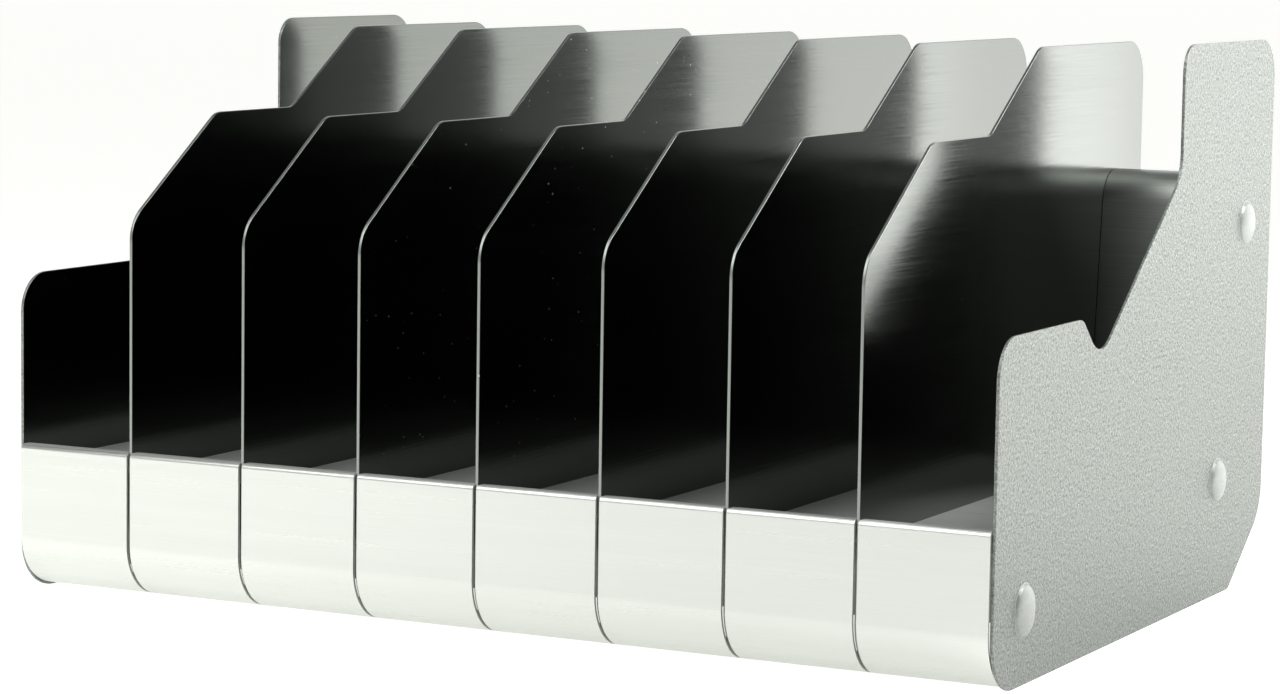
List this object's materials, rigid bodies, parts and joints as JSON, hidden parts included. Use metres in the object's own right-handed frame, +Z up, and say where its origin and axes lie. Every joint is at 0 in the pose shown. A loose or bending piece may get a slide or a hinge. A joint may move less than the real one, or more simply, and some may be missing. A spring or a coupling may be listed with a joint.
{
  "type": "desktop file sorter",
  "caption": "Desktop file sorter of folded sheet metal: upright stepped dividers between notched end panels, with lipped bay trays and leaning bay backs.",
  "frame": {"origin": "bottom centre of the sorter's bounding box, on the desk", "axes": "+Z up, +X to the right of someone facing the sorter, -Y towards that person"},
  "size_m": [0.3862, 0.2794, 0.2064],
  "materials": {
    "end_panel_coat": "fine speckled silver powder coat",
    "coated_rivet": "silver coat over a wide domed head",
    "divider_sheet": "bright anodised, near mirror",
    "brushed_sheet": "brushed lengthwise, clear anodised"
  },
  "bodies": {
    "root": {"bay_back_1": "brushed_sheet", "bay_back_2": "brushed_sheet", "bay_back_3": "brushed_sheet", "bay_back_4": "brushed_sheet", "bay_back_5": "brushed_sheet", "bay_back_6": "brushed_sheet", "bay_back_7": "brushed_sheet", "bay_back_8": "brushed_sheet", "bay_tray_1": "brushed_sheet", "bay_tray_2": "brushed_sheet", "bay_tray_3": "brushed_sheet", "bay_tray_4": "brushed_sheet", "bay_tray_5": "brushed_sheet", "bay_tray_6": "brushed_sheet", "bay_tray_7": "brushed_sheet", "bay_tray_8": "brushed_sheet", "divider_1": "divider_sheet", "divider_2": "divider_sheet", "divider_3": "divider_sheet", "divider_4": "divider_sheet", "divider_5": "divider_sheet", "divider_6": "divider_sheet", "divider_7": "divider_sheet", "left_end_panel": "end_panel_coat", "left_end_rivets": "coated_rivet", "right_end_panel": "end_panel_coat", "right_end_rivets": "coated_rivet"}
  },
  "joints": []
}
